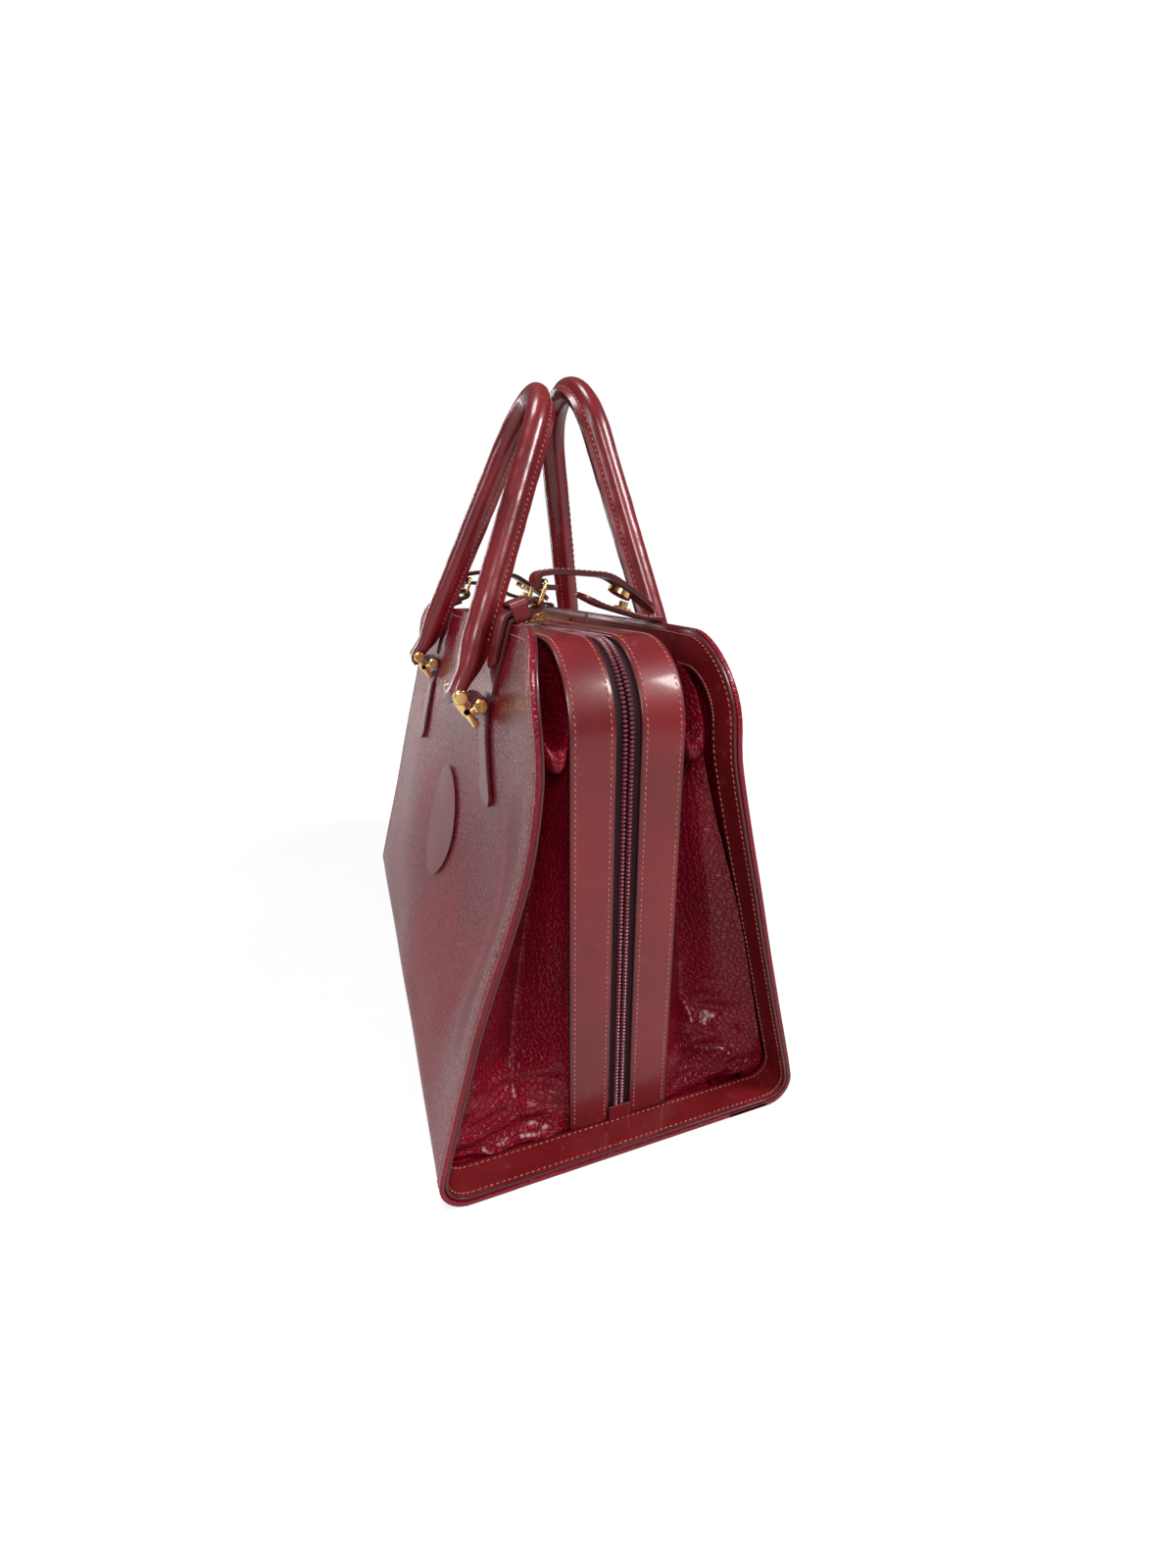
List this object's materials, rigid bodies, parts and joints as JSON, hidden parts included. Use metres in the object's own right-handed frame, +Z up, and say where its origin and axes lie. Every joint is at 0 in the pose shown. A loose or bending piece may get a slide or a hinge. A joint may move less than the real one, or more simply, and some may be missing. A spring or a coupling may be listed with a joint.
{
  "type": "doctor bag",
  "caption": "Leather doctor bag with a zipped top, folded end gussets, two rolled handles on brass clips and two closing straps with rings and snaps.",
  "frame": {"origin": "middle of the base at floor level", "axes": "+X along the bag towards its near end, +Y towards the back wall, +Z up"},
  "size_m": [0.39, 0.1978, 0.3998],
  "materials": {
    "pebbled_leather": "pebbled grain, satin to glossy",
    "smooth_leather": "smooth, semi-gloss",
    "lining_cloth": "twill lining",
    "stiff_board": "grey-brown fibre board",
    "zip_tape_cloth": "woven tape",
    "zip_nylon": "nylon coil",
    "cord_core": "twisted cotton cord",
    "gold_brass": "polished gold-coloured plating"
  },
  "bodies": {
    "bag": {"base_panel": "pebbled_leather", "base_board": "stiff_board", "inner_pocket": "lining_cloth", "oval_patch": "smooth_leather", "front_panel": "pebbled_leather", "front_trim": "smooth_leather", "front_lining": "lining_cloth", "front_gusset": "pebbled_leather", "front_band": "smooth_leather", "front_zip_tape": "zip_tape_cloth", "front_zip_coil": "zip_nylon", "front_tab_near": "smooth_leather", "front_tab_far": "smooth_leather", "back_panel": "pebbled_leather", "back_trim": "smooth_leather", "back_lining": "lining_cloth", "back_gusset": "pebbled_leather", "back_band": "smooth_leather", "back_zip_tape": "zip_tape_cloth", "back_zip_coil": "zip_nylon", "back_tab_near": "smooth_leather", "back_tab_far": "smooth_leather", "base_trim_near": "smooth_leather", "zip_end_tab_near": "smooth_leather", "front_strap_near": "smooth_leather", "keeper_near": "smooth_leather", "back_strap_near": "smooth_leather", "snap_stud_near": "gold_brass", "base_trim_far": "smooth_leather", "zip_end_tab_far": "smooth_leather", "front_strap_far": "smooth_leather", "keeper_far": "smooth_leather", "back_strap_far": "smooth_leather", "snap_stud_far": "gold_brass"},
    "front_clips": {"front_clip_near": "gold_brass", "front_clip_far": "gold_brass", "front_tab_pins": "gold_brass"},
    "back_clips": {"back_clip_near": "gold_brass", "back_clip_far": "gold_brass", "back_tab_pins": "gold_brass"},
    "front_pins": {"front_handle_pins": "gold_brass"},
    "back_pins": {"back_handle_pins": "gold_brass"},
    "front_handle": {"front_handle": "smooth_leather", "front_handle_core": "cord_core"},
    "back_handle": {"back_handle": "smooth_leather", "back_handle_core": "cord_core"},
    "ring_near": {"ring_near": "gold_brass"},
    "top_strap_near": {"top_strap_near": "smooth_leather", "snap_cap_near": "gold_brass"},
    "zip_slider_near": {"zip_slider_near": "gold_brass"},
    "zip_pull_near": {"zip_pull_near": "gold_brass"},
    "ring_far": {"ring_far": "gold_brass"},
    "top_strap_far": {"top_strap_far": "smooth_leather", "snap_cap_far": "gold_brass"},
    "zip_slider_far": {"zip_slider_far": "gold_brass"},
    "zip_pull_far": {"zip_pull_far": "gold_brass"}
  },
  "joints": [
    {"name": "front_clip_hinge", "type": "hinge", "parent": "bag", "child": "front_clips", "pos_m": [0, -0.05111, 0.22149], "axis": [-1, 0, 0], "range_deg": [0, 24]},
    {"name": "front_pin_turn", "type": "hinge", "parent": "front_clips", "child": "front_pins", "pos_m": [0, -0.06111, 0.22649], "axis": [1, 0, 0], "range_deg": [0, 33.6]},
    {"name": "front_handle_hinge", "type": "hinge", "parent": "front_pins", "child": "front_handle", "pos_m": [0, -0.06111, 0.22649], "axis": [1, 0, 0], "range_deg": [0, 140]},
    {"name": "back_clip_hinge", "type": "hinge", "parent": "bag", "child": "back_clips", "pos_m": [0, 0.05406, 0.2199], "axis": [1, 0, 0], "range_deg": [0, 24]},
    {"name": "back_pin_turn", "type": "hinge", "parent": "back_clips", "child": "back_pins", "pos_m": [0, 0.06406, 0.2249], "axis": [-1, 0, 0], "range_deg": [0, 33.6]},
    {"name": "back_handle_hinge", "type": "hinge", "parent": "back_pins", "child": "back_handle", "pos_m": [0, 0.06406, 0.2249], "axis": [-1, 0, 0], "range_deg": [0, 115]},
    {"name": "ring_near_hinge", "type": "hinge", "parent": "bag", "child": "ring_near", "pos_m": [0.098, -0.0204, 0.272], "axis": [1, 0, 0], "range_deg": [0, 35]},
    {"name": "top_strap_near_hinge", "type": "hinge", "parent": "ring_near", "child": "top_strap_near", "pos_m": [0.098, -0.0163, 0.28328], "axis": [1, 0, 0], "range_deg": [0, 100]},
    {"name": "zip_slider_near_slide", "type": "slide", "parent": "bag", "child": "zip_slider_near", "axis": [1, 0, 0], "range_m": [0, 0.082]},
    {"name": "zip_pull_near_hinge", "type": "hinge", "parent": "zip_slider_near", "child": "zip_pull_near", "pos_m": [0.044, 0, 0.2632], "axis": [1, 0, 0], "range_deg": [0, 162]},
    {"name": "ring_far_hinge", "type": "hinge", "parent": "bag", "child": "ring_far", "pos_m": [-0.098, -0.0204, 0.272], "axis": [1, 0, 0], "range_deg": [0, 35]},
    {"name": "top_strap_far_hinge", "type": "hinge", "parent": "ring_far", "child": "top_strap_far", "pos_m": [-0.098, -0.0163, 0.28328], "axis": [1, 0, 0], "range_deg": [0, 100]},
    {"name": "zip_slider_far_slide", "type": "slide", "parent": "bag", "child": "zip_slider_far", "axis": [-1, 0, 0], "range_m": [0, 0.144]},
    {"name": "zip_pull_far_hinge", "type": "hinge", "parent": "zip_slider_far", "child": "zip_pull_far", "pos_m": [0.018, 0, 0.2632], "axis": [-1, 0, 0], "range_deg": [0, 162]}
  ],
  "couplings": [
    {"joint": "front_clip_hinge", "follows": "front_pin_turn", "ratio": 0.714},
    {"joint": "back_clip_hinge", "follows": "back_pin_turn", "ratio": 0.714}
  ]
}
